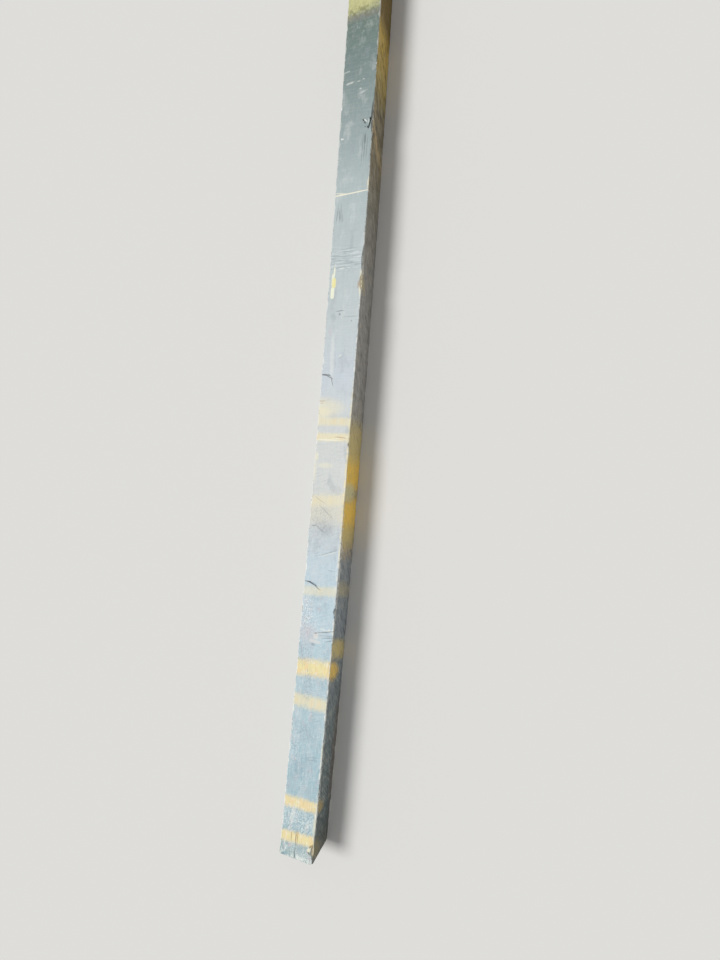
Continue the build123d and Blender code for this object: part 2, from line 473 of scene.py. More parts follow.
def make_beam():
    """The beam's one skin, closed at both ends by a fan round the heart."""
    place, unrolled, fields = beam_grid()
    rows, across = place.shape[:2]
    index = np.arange(rows * across).reshape(rows, across)
    hearts = [rows * across, rows * across + 1]
    quads, *fans = skin_corners(index, index[:, 0], hearts)
    faces = quads.reshape(-1, 4).tolist() + np.vstack(fans).tolist()
    heart_places = [
        [place[0, 0, 0], middle_line(foot), half],
        [place[-1, 0, 0], middle_line(head), half],
    ]
    vertices = np.vstack([place.reshape(-1, 3), heart_places]) * MM
    mesh = bpy.data.meshes.new("weathered_beam")
    mesh.from_pydata(vertices, [], faces)
    for name, values in fields.items():
        column = np.concatenate([values.ravel(), values[[0, -1], 0]])
        layer = mesh.attributes.new(name, "FLOAT", "POINT")
        layer.data.foreach_set("value", column.astype(np.float32))
    for name, corners in skin_maps(place, unrolled).items():
        layer = mesh.uv_layers.new(name=name)
        layer.uv.foreach_set("vector", corners.astype(np.float32).ravel())
    mesh.polygons.foreach_set("use_smooth", np.ones(len(mesh.polygons), bool))
    mesh.update()
    beam = bpy.data.objects.new("weathered_beam", mesh)
    bpy.context.collection.objects.link(beam)
    return beam


class Value:
    """A value that varies over a surface. Arithmetic on it adds Math nodes."""

    def __init__(self, nodes, socket):
        self.nodes = nodes
        self.socket = socket

    def math(self, operation, first, second=0.0, third=0.0):
        sockets = {0: first, 1: second, 2: third}
        return self.nodes.add("ShaderNodeMath", {"operation": operation}, sockets)

    def times_plus(self, factor, addend):
        return self.math("MULTIPLY_ADD", self, factor, addend)

    def __add__(self, other):
        return self.math("ADD", self, other)

    __radd__ = __add__

    def __sub__(self, other):
        return self.math("SUBTRACT", self, other)

    def __rsub__(self, other):
        return self.math("SUBTRACT", other, self)

    def __mul__(self, other):
        return self.math("MULTIPLY", self, other)

    __rmul__ = __mul__

    def __truediv__(self, other):
        return self.math("DIVIDE", self, other)

    def __abs__(self):
        return self.math("ABSOLUTE", self)

    def at_least(self, other):
        return self.math("MAXIMUM", self, other)

    def step(self, low, high, top=1.0):
        """0 at low and top at high, with an even S between; low may be the greater."""
        settings = {"interpolation_type": "SMOOTHSTEP", "clamp": False}
        sockets = {"Value": self, "From Min": low, "From Max": high, "To Max": top}
        return self.nodes.add("ShaderNodeMapRange", settings, sockets)


class Nodes:
    """The node tree of one material, or of the world."""

    def __init__(self, owner):
        owner.use_nodes = True
        self.owner = owner
        self.tree = owner.node_tree
        self.tree.nodes.clear()

    def add(self, kind, settings=None, sockets=None, output=0):
        """Adds a node: its type, its settings, its sockets' values or links, and which
        of its outputs to go on with."""
        node = self.tree.nodes.new(kind)
        for name, value in (settings or {}).items():
            if name == "stops":
                self.set_stops(node.color_ramp, value)
            else:
                setattr(node, name, value)
        for key, value in (sockets or {}).items():
            if isinstance(value, Value):
                self.tree.links.new(value.socket, node.inputs[key])
            else:
                node.inputs[key].default_value = value
        return Value(self, node.outputs[output]) if len(node.outputs) else node

    def set_stops(self, ramp, stops):
        """Fills a ramp with (position, colour) stops."""
        while len(ramp.elements) < len(stops):
            ramp.elements.new(1.0)
        for element, (position, colour) in zip(ramp.elements, stops):
            element.position = position
            element.color = colour

    def field(self, name):
        """One of the values that the mesh carries at its vertices."""
        return self.add("ShaderNodeAttribute", {"attribute_name": name}, None, "Fac")


def paint(red, green, blue):
    """A colour on the 0 to 255 scale of a screen, as the linear colour of a socket."""
    levels = np.array([red, green, blue]) / 255
    linear = np.where(levels <= 0.04045, levels / 12.92, ((levels + 0.055) / 1.055) ** 2.4)
    return (*linear.tolist(), 1.0)


class Paintwork:
    """The beam's paint as it builds up: one colour, with patch after patch laid on it."""

    def __init__(self, nodes):
        self.nodes = nodes
        self.place = nodes.add("ShaderNodeUVMap", {"uv_map": "unrolled"})
        self.s = self.axis(0)
        self.g = self.axis(1)
        self.ragged = self.noise(9, 6, 3) - 0.5
        self.streaks = self.noise(60, 1.9, 4, 0.65)
        self.clouds = self.noise(70, 36, 3, 0.6)
        self.blotch = self.noise(15, 9, 4, 0.68)
        self.speckle = self.noise(4.5, 3, 2, 0.6)
        self.on_show = self.inside(far_arris, near_arris, 0.8)
        self.on_near = self.inside(near_arris, near_foot_arris, 0.8)
        self.colour = None

    def axis(self, number):
        """One axis of the unrolled skin, in millimetres."""
        return self.nodes.add("ShaderNodeSeparateXYZ", None, {0: self.place}, number) / MM

    def noise(self, along, across, detail=2.0, roughness=0.5, turn=0.0):
        """Noise about 0.5. Its grains are along by across millimetres on the skin, and
        lean to greater g by turn degrees."""
        stretched = self.nodes.add("ShaderNodeMapping", {"vector_type": "TEXTURE"}, {
            "Vector": self.place,
            "Scale": (along * MM, across * MM, 1.0),
            "Rotation": (0, 0, radians(turn)),
        })
        sockets = {"Vector": stretched, "Scale": 1.0, "Detail": detail, "Roughness": roughness}
        return self.nodes.add("ShaderNodeTexNoise", {"noise_dimensions": "2D"}, sockets)

    def inside(self, low, high, soft):
        """1 on the girth between two places, 0 outside them."""
        middle = (low + high) / 2
        edge = high - middle
        return abs(self.g - middle).step(edge + soft, edge - soft)

    def ramp(self, stops):
        """A colour that changes along the beam: stops of (s, colour)."""
        settings = {"stops": [(place / length, paint(*colour)) for place, colour in stops]}
        return self.nodes.add("ShaderNodeValToRGB", settings, {0: self.s / length})

    def lay(self, colour, cover):
        """Lays a colour over what is there already: a screen's red, green and blue, or a
        colour that varies."""
        over = colour if isinstance(colour, Value) else paint(*colour)
        settings = {"data_type": "RGBA", "clamp_factor": True}
        sockets = {0: cover, 6: self.colour, 7: over}
        self.colour = self.nodes.add("ShaderNodeMix", settings, sockets, 2)

    def brighten(self, factor):
        """Makes the colour lighter or darker by a factor."""
        sockets = {"Color": self.colour, "Value": factor}
        self.colour = self.nodes.add("ShaderNodeHueSaturation", None, sockets)

    def patch(self, s, g, half_s, half_g, turn=0.0, cover=1.0, soft=0.4, ragged=0.8, square=False):
        """How much a patch covers each place. The places along and across it are counted
        in its half lengths and half widths, their squares are added, and a noise makes the
        edge at 1 ragged. In a square patch the squares are squared again, which fills its
        corners."""
        run = cos(radians(turn))
        rise = sin(radians(turn))
        along = self.line(s, g, run / half_s, rise / half_s)
        across = self.line(s, g, -rise / half_g, run / half_g)
        along = along * along
        if square:
            along = along * along
            across = across * across
        away = across.times_plus(across, along)
        if ragged:
            away = self.ragged.times_plus(2 * ragged, away)
        return away.step((1 + soft) ** 2, (1 - soft) ** 2, cover)

    def band(self, s, half_s, lean, cover):
        """How much a sprayed band covers the show face, if it crosses at s in the middle
        and leans by so many degrees. Its cover fades from a third of its half breadth to
        half as much again outside it, and two noises make that ragged and streaky."""
        away = abs(self.line(s, half, 1 / half_s, -sin(radians(lean)) / half_s))
        away = self.streaks.times_plus(-0.3, away + 0.15)
        away = self.ragged.times_plus(0.8, away)
        return away.step(1.45, 0.35, cover)

    def line(self, s, g, along, across):
        """Distance from a line through (s, g), with the line's slopes in s and g."""
        offset = -(s * along + g * across)
        if across:
            offset = self.g.times_plus(across, offset)
        return self.s.times_plus(along, offset) if along else offset

    def lay_patches(self, colour, patches, within=1.0, **shape):
        """Lays patches of one colour: (s, g, half length, half width, turn, cover). Where
        two meet, the one that covers more counts."""
        most = 0.0
        for patch in patches:
            most = self.patch(*patch, **shape).at_least(most)
        self.lay(colour, most * within)

    def lay_strokes(self, colour, strokes, **shape):
        """Lays thin pointed strokes: (s, g) of one end and of the other, half width, cover."""
        patches = []
        for s1, g1, s2, g2, half_wide, cover in strokes:
            turn = degrees(atan2(g2 - g1, s2 - s1))
            reach = hypot(s2 - s1, g2 - g1) / 2
            middle = ((s1 + s2) / 2, (g1 + g2) / 2)
            patches.append((*middle, reach, half_wide, turn, cover))
        self.lay_patches(colour, patches, **shape)


def lay_ground(work):
    """The old blue-grey paint of each face, which greys and darkens towards the head. On the show
    face the paler middle and that darkening are mostly painted light and painted shade, with some
    dirt; the near side is written darker than its paint as painted shade, most at the foot.
    """
    # Palest about the middle and darkest towards the head: mostly painted light and painted shade,
    # with some dirt.
    show = work.ramp([
        (0, (166, 184, 178)),
        (80, (163, 190, 196)),
        (240, (171, 199, 209)),
        (420, (182, 205, 212)),
        (600, (190, 212, 222)),
        (760, (198, 214, 222)),
        (880, (207, 211, 211)),
        (970, (215, 218, 215)),
        (1090, (213, 216, 213)),
        (1240, (203, 212, 219)),
        (1400, (197, 206, 207)),
        (1600, (188, 198, 199)),
        (1760, (177, 190, 190)),
        (1880, (157, 171, 171)),
        (2000, (136, 152, 150)),
        (2120, (112, 130, 126)),
        (2220, (100, 118, 108)),
        (length, (150, 156, 140)),
    ])
    # Written darker than the show face as painted shade, darkest at the foot as painted shade near
    # the floor, and browner towards the head, partly a painted reflection of warm light.
    near = work.ramp([
        (0, (110, 114, 100)),
        (90, (90, 108, 110)),
        (330, (113, 127, 129)),
        (600, (143, 153, 160)),
        (760, (150, 157, 160)),
        (1000, (172, 168, 150)),
        (1240, (166, 163, 158)),
        (1480, (160, 157, 150)),
        (1680, (142, 138, 126)),
        (1860, (138, 126, 96)),
        (1980, (124, 114, 86)),
        (2070, (186, 162, 84)),
        (2190, (202, 168, 62)),
        (2250, (126, 102, 16)),
        (length, (118, 94, 6)),
    ])
    hidden = work.ramp([
        (0, (148, 158, 158)),
        (300, (158, 172, 177)),
        (1000, (178, 184, 182)),
        (1600, (160, 168, 167)),
        (2100, (120, 130, 126)),
        (length, (128, 132, 116)),
    ])
    across = work.g + work.ragged * 5
    work.colour = show
    work.lay(near, across.step(near_arris - 1, near_arris + 1))
    work.lay(hidden, across.step(near_foot_arris - 1, near_foot_arris + 1))
    work.lay(hidden, across.step(far_arris + 0.5, far_arris - 2))


def lay_tone(work):
    """Uneven paint: wide thin clouds, then chalky and deeper blotches the size of a
    thumbnail, which are strongest at the foot and almost gone in the upper half."""
    thin = work.on_show * 0.24 + 0.08
    work.lay((222, 226, 224), work.clouds.step(0.54, 0.78) * thin)
    work.lay((150, 160, 166), work.clouds.step(0.46, 0.22) * thin)
    patchy = work.clouds.step(0.62, 0.38, 0.75) + 0.25
    worn_paint = work.s.step(1100, 380, 0.42) * work.s.step(100, 420) * patchy
    worn_paint = worn_paint + work.s.step(340, 200, 0.13) + work.s.step(130, 50, 0.5)
    leftward = work.g.step(75, 20, 0.3)
    worn_paint = (worn_paint + 0.06) * (work.on_show * (leftward + 0.6) + 0.2)
    work.lay((228, 238, 238), work.blotch.step(0.53, 0.65) * worn_paint * 0.9)
    work.lay((140, 172, 186), work.blotch.step(0.47, 0.34) * worn_paint * 0.8)
    fine_grain = work.noise(34, 2.2, 3, 0.6)
    near_foot = work.s.step(480, 300) * work.on_show
    work.lay((146, 174, 182), fine_grain.step(0.52, 0.40) * near_foot * 0.28)
    work.lay((206, 224, 228), fine_grain.step(0.54, 0.66) * near_foot * 0.35)
    lilac = work.noise(24, 15, 3, 0.65)
    work.lay((208, 194, 198), lilac.step(0.55, 0.66) * worn_paint)
    slanting = work.noise(13, 3.6, 4, 0.66, turn=28)
    near_foot = work.s.step(130, 105, 0.7) + work.s.step(380, 190, 0.3)
    near_foot = near_foot * work.on_show * work.clouds.step(0.40, 0.56)
    work.lay((230, 242, 240), slanting.step(0.53, 0.66) * near_foot * 0.6)
    work.lay((112, 144, 156), slanting.step(0.46, 0.34) * near_foot * 0.6)
    flecks = work.noise(5.5, 3.6)
    flaked = work.s.step(1000, 500, 0.45) * work.s.step(200, 480, 0.7)
    flaked = flaked + work.s.step(180, 40, 0.6) + 0.06
    work.lay((242, 246, 242), flecks.step(0.66, 0.72) * work.on_show * flaked)
    white_edge = work.blotch.step(0.42, 0.56) * work.s.step(16, 5)
    work.lay((236, 240, 232), white_edge * work.on_show * 0.8)
    work.brighten(0.955 + 0.09 * work.streaks)
    work.brighten(0.965 + 0.07 * work.speckle)


def lay_saw_lines(work):
    """Pale and dark lines across the grain, where the saw chattered and elsewhere faintly, partly
    painted highlight and shade on the saw's ridges, and fine long scratches that slant across the
    lower half."""
    lines = work.noise(4.0, 44, 3, 0.6)
    started = work.s.step(chatter_start - 8, chatter_start + 12)
    zone = started * work.s.step(chatter_end + 16, chatter_end - 8)
    zone = zone * work.on_show * 0.34 + 0.05
    # Partly painted highlight and shade on the saw's ridges.
    work.lay((234, 240, 240), lines.step(0.53, 0.62) * zone)
    work.lay((132, 144, 150), lines.step(0.46, 0.36) * zone)
    scratches = work.noise(85, 1.3, 3, 0.6, turn=68)
    clear = work.on_show * work.s.step(1300, 900, 0.34)
    work.lay((226, 232, 232), scratches.step(0.60, 0.68) * clear)
    work.lay((146, 158, 162), scratches.step(0.38, 0.30) * clear)


def lay_bands(work):
    """The sprayed yellow bands. They are peach in places, fade out at their edges, and
    the open grain shows through the strong ones as darker streaks."""
    peach = work.noise(60, 16, 3, 0.6).step(0.44, 0.60)
    open_grain = work.streaks.step(0.44, 0.30, 0.8)
    chalky = work.blotch.step(0.53, 0.64, 0.7)
    strong = [
        (54, 15.0, 4.2, 0.97),
        (141, 15.0, 2.4, 0.92),
        (488, 22.5, 4.6, 1.0),
    ]
    for band in strong:
        cover = work.band(*band) * work.on_show
        work.lay((224, 214, 190), cover * 0.9)
        core = cover * cover
        work.lay((243, 230, 170), core * 0.9)
        work.lay((241, 210, 160), core * peach * 0.6)
        work.lay((247, 242, 222), core * chalky)
        work.lay((192, 174, 136), core * open_grain * 0.8)
    work.lay_patches((172, 132, 84), [
        (56, 43, 12, 1.5, 0, 0.65),
        (57, 48, 14, 1.1, 0, 0.60),
        (55, 30, 11, 1.0, 0, 0.60),
    ], soft=0.6, ragged=1.0)
    faint = [
        (400, 17, 0.0, 0.80),
        (686, 13, 5.4, 0.55),
        (922, 15, 4.8, 0.55),
        (898, 42, 4.8, 0.34),
        (1088, 11, 0.0, 0.88),
        (1129, 11, 0.0, 0.72),
    ]
    for band in faint:
        cover = work.band(*band) * work.on_show
        work.lay((238, 229, 194), cover)
        work.lay((242, 220, 174), cover * cover * peach * 0.6)
        work.lay((196, 190, 170), cover * open_grain * 0.5)
    work.lay_patches((243, 234, 198), [
        (1165, 0, 19, 48, 0, 0.55),
        (1156, 0, 13, 32, 0, 0.75),
    ], within=work.on_show, soft=0.9, ragged=0.6)


def lay_side_gold(work):
    """Yellow overspray on the near side. It caught in blotches, over browner stains. The side is
    darkened at the foot as painted shade, has a browner strip low near the foot as a painted
    reflection, and pale scuffs and painted highlights along its upper edge.
    """
    stain = work.noise(34, 13, 4, 0.7, turn=-30)
    upper = work.s.step(1700, 1960, 0.25) + 0.35
    work.lay((66, 58, 42), stain.step(0.50, 0.64) * work.on_near * upper)
    work.lay((214, 208, 188), stain.step(0.45, 0.33) * work.on_near * 0.3)
    scuffs = work.noise(16, 4, 4, 0.7, turn=-40)
    rubbed = work.on_near * work.clouds.step(0.42, 0.60) * work.s.step(2100, 1600, 0.4)
    work.lay((206, 212, 210), scuffs.step(0.56, 0.68) * rubbed)
    work.lay((60, 58, 50), scuffs.step(0.43, 0.32) * work.on_near * 0.28)
    drawn = work.noise(70, 3.4, 4, 0.68, turn=-42)
    work.lay((200, 196, 176), drawn.step(0.56, 0.70) * work.on_near * 0.32)
    work.lay((52, 50, 42), drawn.step(0.45, 0.33) * work.on_near * 0.34)
    caught = stain.step(0.62, 0.44, 0.22) + drawn.step(0.36, 0.50, 0.24)
    caught = work.on_near * (caught + 0.68)
    work.lay_patches((255, 212, 96), [
        (142, 106, 26, 11, -58, 0.34),
        (484, 112, 36, 17, -66, 0.80),
        (884, 144, 44, 80, 0, 1.0),
        (1002, 146, 42, 84, 0, 1.0),
        (1004, 112, 28, 22, 0, 0.9),
    ], within=caught, soft=0.7, ragged=1.6)
    work.lay_patches((218, 198, 130), [
        (532, 142, 62, 19, -72, 0.85),
        (690, 138, 56, 15, -76, 0.34),
        (828, 142, 26, 66, 0, 0.80),
        (1078, 142, 44, 66, 0, 0.80),
        (1498, 100, 22, 12, -40, 0.35),
        (34, 108, 30, 16, -50, 0.50),
    ], within=caught, soft=0.7, ragged=1.6)
    work.lay_patches((206, 180, 134), [
        (792, 150, 18, 62, 0, 0.50),
        (1890, 136, 66, 14, -53, 0.60),
        (1972, 110, 30, 12, -66, 0.35),
    ], within=work.on_near * stain.step(0.62, 0.46), soft=0.8, ragged=1.6)
    chalky = work.patch(946, 124, 19, 36, 0, 0.8, soft=0.7, ragged=1.4)
    work.lay((222, 216, 168), chalky * work.on_near)
    work.lay((104, 82, 8), work.on_near * work.s.step(2190, 2262, 0.7))
    # Darker towards the foot of the near side: painted shade near the floor.
    work.lay((56, 60, 56), work.on_near * work.s.step(160, 10, 0.6))
    # A browner strip along the lower edge near the foot: a painted reflection of warm light.
    work.lay((118, 96, 78), work.patch(250, 184, 110, 18, soft=0.8, ragged=1.6) * 0.5)
    # Pale patches along the upper edge: white scuffs, and painted highlight where the arris
    # catches the light.
    work.lay_patches((234, 236, 230), [
        (1530, 99, 18, 5, 0, 0.8),
        (1490, 98, 14, 4, 0, 0.7),
        (250, 97, 170, 6, 0, 0.65),
        (740, 98, 130, 8, 0, 0.85),
        (612, 99, 26, 6, 0, 0.8),
        (790, 109, 9, 6, 40, 0.6),
    ], within=work.blotch.step(0.42, 0.58), soft=0.5, ragged=1.6)


def lay_hidden_wear(work):
    """The far side and the underside: paint flaked off along the grain, with the grey
    wood open in streaks where it is gone, and dirt in soft patches."""
    hidden = 1 - (work.on_show + work.on_near)
    flaked = work.noise(130, 9, 5, 0.66)
    gone = flaked.step(0.55, 0.60) * hidden
    work.lay((206, 212, 208), flaked.step(0.51, 0.545) * hidden * 0.5)
    work.lay((160, 148, 128), gone * 0.9)
    work.lay((104, 94, 80), gone * work.streaks.step(0.52, 0.38, 0.75))
    work.lay((112, 110, 98), hidden * work.clouds.step(0.48, 0.68, 0.5))
    work.lay((214, 220, 218), hidden * work.blotch.step(0.56, 0.68, 0.35))
    work.lay((118, 128, 128), hidden * work.blotch.step(0.44, 0.34, 0.35))


def lay_head(work):
    """Pale yellow-green overspray across the head, over olive dirt. Its colours are written darker
    than the bands lower down, partly as painted shade.
    """
    edge = work.ragged.times_plus(22, work.blotch.times_plus(24, work.s))
    spray = (edge - work.g * 0.10).step(2226, 2272)
    thick = work.streaks.step(0.28, 0.50, 0.3) + 0.68
    thick = thick * (work.clouds.step(0.34, 0.54, 0.22) + 0.78)
    work.lay((206, 203, 142), spray * work.on_show * thick)
    worn_off = work.blotch.step(0.58, 0.66) * work.s.step(2290, 2350, 0.5)
    work.lay((134, 144, 128), worn_off * work.on_show)
    work.lay((222, 214, 158), spray * work.on_show * work.blotch.step(0.46, 0.34, 0.35))
    grey = work.patch(2229, 40, 9, 70, soft=0.8, ragged=1.4)
    work.lay((136, 134, 134), work.on_show * grey * 0.45)
    dirt = edge.step(2222, 2254) * work.s.step(2276, 2244)
    mottled = work.noise(12, 10, 3, 0.62).step(0.40, 0.64, 0.6)
    work.lay((104, 102, 66), dirt * work.on_show * mottled)
    flecks = work.blotch.step(0.60, 0.66) * work.s.step(2165, 2195)
    work.lay((190, 204, 198), flecks * work.on_show * work.s.step(2235, 2215, 0.28))


def lay_marks(work):
    """Scratches, scuffs, dots and smudges, each where the beam was knocked or rubbed, with painted
    highlights at the knot and on the near arris, and painted shade in the cracks and round the
    foot chip.
    """
    # Pale marks: chalky scuffs and dots, and painted highlights at the knot and on the near arris.
    chalk_and_highlight = (236, 238, 232)
    flaked = work.speckle.step(0.51, 0.60)
    work.lay_patches((244, 248, 246), [
        (622, 14, 46, 15, 0, 0.75),
        (592, 40, 22, 12, 0, 0.40),
        (104, 30, 20, 28, 0, 0.55),
        (100, 74, 14, 14, 0, 0.45),
        (14, 62, 10, 32, 0, 0.50),
        (286, 12, 34, 12, 0, 0.40),
    ], within=flaked, soft=0.9, ragged=1.0)
    scuffed = work.noise(8, 2.0, 3, 0.65, turn=20).step(0.50, 0.60)
    work.lay_patches((150, 154, 166), [
        (524, 18, 22, 16, 0, 0.55),
        (440, 36, 32, 9, 0, 0.55),
        (322, 44, 18, 22, 0, 0.40),
        (232, 40, 22, 22, 0, 0.40),
        (606, 18, 40, 14, 0, 0.40),
        (868, 30, 30, 30, 0, 0.40),
    ], within=scuffed, soft=0.9, ragged=1.0)
    work.lay_strokes(chalk_and_highlight, [
        (84, 27, 126, 33, 3.0, 0.4),
        (100, 23, 130, 29, 2.4, 0.5),
        (86, 65, 99, 80, 2.4, 0.4),
        (591, 60, 586, 93, 1.8, 0.6),
        (776, 40, 791, 82, 1.5, 0.5),
        (1246, 30, 1345, 25, 5.0, 0.4),
        (1301, 45, 1306, 54, 1.6, 0.6),
        (2012, 50, 2017, 70, 2.0, 0.3),
        (2045, 12, 2048, 30, 2.4, 0.5),
        (2079, 3, 2081, 18, 1.6, 0.35),
    ], soft=0.7, ragged=1.6)
    # Painted highlights where the splinter's edges and the torn arris at the knot catch the light.
    work.lay_strokes(chalk_and_highlight, [
        (1938, 69, 1929, 78, 1.0, 0.9),
        (1936, 82, 1924, 82, 0.9, 0.6),
        (1930, 95, 1950, 98, 1.6, 0.5),
        (1950, 95, 1990, 96, 1.6, 0.6),
    ], soft=0.5, ragged=0.7)
    # White dots; those at 1076 and 1267 on the near arris are painted highlights.
    work.lay_patches(chalk_and_highlight, [
        (609, 92, 2.6, 2.2, 0, 0.9),
        (591, 83, 2.2, 2.6, 0, 0.8),
        (604, 12, 1.8, 2.0, 0, 0.8),
        (611, 22, 1.8, 2.0, 0, 0.7),
        (618, 30, 1.6, 1.8, 0, 0.7),
        (1041, 9, 2.0, 2.0, 0, 0.8),
        (1076, 93, 3.0, 2.4, 0, 0.8),
        (1267, 94, 7.0, 2.6, 0, 0.8),
        (1538, 34, 1.6, 8.0, -4, 0.6),
        (1538, 55, 1.6, 4.0, 8, 0.5),
        (1548, 16, 3.0, 3.0, 0, 0.4),
        (1894, 9.5, 2.0, 4.0, 0, 0.9),
        (1980, 1, 4.0, 2.0, 0, 0.8),
        (2047, 46, 1.4, 4.0, 0, 0.5),
        (2050, 60, 1.4, 3.0, 0, 0.5),
        (2025, 53, 2.0, 3.0, 0, 0.5),
        (2085, 94, 3.0, 2.0, 0, 0.7),
    ], soft=0.5, ragged=1.0)
    work.lay_patches((245, 247, 220), [
        (1474, 13.5, 16, 5.0, 0, 0.9),
        (1508, 12.0, 17, 3.4, 0, 0.8),
        (1528, 15.0, 14, 2.4, 0, 0.8),
    ], soft=0.25, ragged=0.5, square=True)
    work.lay_patches((244, 234, 166), [
        (1500, 16.0, 13, 5.4, 0, 0.9),
    ], soft=0.2, ragged=0.4, square=True)
    # A broken cream line along the near arris: worn paint and painted highlight.
    broken = work.blotch.step(0.42, 0.54, 0.75) + 0.25
    work.lay_patches((245, 232, 186), [
        (950, 93, 100, 3.4, 0, 0.9),
        (1120, 93, 90, 2.6, 0, 0.7),
        (850, 93, 70, 2.4, 0, 0.5),
    ], within=broken, soft=0.6, ragged=1.2)
    # The patches at g 92 to 94 are painted highlight along the near arris, partly worn paint; the
    # rest are pale paint and bare wood.
    work.lay_patches((243, 236, 206), [
        (1496, 92, 27, 3.4, 0, 0.85),
        (1761, 94, 14, 2.6, 0, 0.8),
        (285, 94, 16, 2.4, 0, 0.5),
        (1013, 32, 6, 18, 0, 0.4),
        (1036, 5, 9, 5, 0, 0.6),
        (1000, 3, 26, 4, 0, 0.4),
        (36, 82, 5, 3.6, 20, 0.9),
        (100, 92, 24, 4.0, 0, 0.5),
    ], soft=0.6, ragged=1.2)
    work.lay_strokes((246, 240, 218), [
        (1737.5, -6, 1742.5, 102, 1.5, 0.95),
        (1738, -4, 1740, 46, 2.0, 0.9),
        (1746, -2, 1740.5, 34, 1.2, 0.6),
    ], soft=0.5, ragged=0.3)
    work.lay_strokes((250, 248, 228), [
        (1081, 4, 1080, 62, 1.6, 0.7),
        (1084, 50, 1090, 92, 1.3, 0.5),
    ], soft=0.7, ragged=0.8)
    work.lay_patches((176, 138, 100), [
        (1490, 86, 8, 1.6, 0, 0.6),
        (1088, 70, 1.3, 14, 3, 0.55),
        (1183, 7, 1.2, 9, -6, 0.45),
        (1178, 5, 1.0, 7, 4, 0.35),
    ], soft=0.7, ragged=1.0)
    # Dark brown round the foot chip: painted shadow in its groove, partly bruised wood.
    work.lay_patches((90, 74, 34), [
        (38, 90, 12, 1.8, 8, 0.85),
        (27, 84, 4, 1.6, -50, 0.75),
        (45, 86, 5, 1.5, 35, 0.7),
        (22, 93, 8, 1.6, 0, 0.7),
    ], soft=0.5, ragged=0.8)
    work.lay_patches((208, 200, 202), [
        (572, 26, 18, 22, 0, 0.4),
        (1369, 16, 9, 4, 0, 0.4),
    ], soft=0.8, ragged=1.6)
    work.lay_patches((232, 228, 220), [
        (571, 47, 8, 7, 0, 0.6),
        (556, 46, 4, 16, 4, 0.5),
    ], soft=0.5, ragged=0.8, square=True)
    # Nearly black strokes in the cracks and the knot's splits: painted shade.
    work.lay_strokes((48, 48, 46), [
        (708, -2, 706, 17, 0.8, 0.9),
        (707, 11, 698, 36, 0.8, 0.9),
        (701, 28, 689, 47, 0.7, 0.8),
        (1254, -2, 1251, 20, 0.7, 0.85),
        (1252, 14, 1243, 32, 0.7, 0.85),
        (1246, 28, 1224, 36, 0.7, 0.75),
        (1917, 72, 1914, 76, 1.2, 0.7),
        (1896, 75, 1870, 76, 1.8, 0.5),
    ], soft=0.5, ragged=0.5)
    scratch = (104, 112, 116)
    work.lay_strokes(scratch, [
        (580, 54, 590, 96, 1.3, 0.65),
        (573, 56, 578, 96, 1.0, 0.4),
        (568, 66, 574, 96, 1.2, 0.5),
        (561, 78, 567, 96, 1.1, 0.5),
        (577, 42, 578, 50, 2.0, 0.5),
        (548, 36, 548, 46, 3.0, 0.35),
        (778, 39, 795, 84, 1.2, 0.35),
        (742, 65, 742, 85, 0.9, 0.3),
        (854, 9, 854, 20, 1.2, 0.5),
        (855, 20, 838, 44, 0.9, 0.4),
        (850, 30, 838, 46, 0.8, 0.3),
        (846, 40, 858, 50, 0.9, 0.3),
        (838, 46, 846, 58, 0.8, 0.3),
        (1407, 52, 1407, 90, 0.9, 0.3),
        (1423, 29, 1424, 50, 1.1, 0.6),
        (1668, 9, 1706, 12, 1.2, 0.4),
        (1700, 15, 1668, 19, 1.2, 0.45),
        (1670, 20, 1708, 21, 1.1, 0.4),
        (1690, 24, 1664, 26, 1.2, 0.35),
        (1825, 69, 1890, 70, 1.1, 0.45),
        (1832, 75, 1892, 76, 1.2, 0.6),
        (1828, 82, 1886, 83, 1.0, 0.4),
        (510, 14, 542, 6, 1.3, 0.25),
        (906, 28, 880, 62, 1.3, 0.25),
        (930, 10, 914, 40, 1.2, 0.22),
        (262, 56, 268, 90, 1.0, 0.25),
        (254, 52, 259, 80, 1.0, 0.25),
    ], soft=0.6, ragged=1.0)
    work.lay_patches(scratch, [
        (848, 44, 16, 24, 35, 0.14),
        (1275, 132, 4, 5, 0, 0.45),
        (1315, 136, 4, 5, 0, 0.3),
    ], soft=0.6, ragged=1.2)


def lay_wear(work):
    """Arrises rubbed pale, partly as a painted highlight that is strongest towards the foot, with
    short dark knocks, and specks of bare wood on the ridges of the grain."""
    from_arris = work.g.math("PINGPONG", work.g, half)
    patchy = work.noise(26, 40, 3, 0.6)
    # Pale line along every arris: worn paint and, partly, painted highlight, stronger towards the
    # foot.
    rubbed = patchy.times_plus(-14, from_arris + 5).step(0.6, -1.8)
    lower = work.s.step(1950, 600, 0.55) + 0.4
    work.lay((238, 240, 232), rubbed * lower)
    knocks = work.noise(7, 5, 3, 0.6)
    knocked = knocks.step(0.60, 0.68) * from_arris.step(4.0, 1.5)
    work.lay((112, 108, 96), knocked * 0.7)
    fibres = work.noise(20, 0.9, 3, 0.6)
    worn = fibres.step(0.66, 0.74) * patchy.step(0.45, 0.7)
    work.lay((148, 144, 136), worn * 0.4)


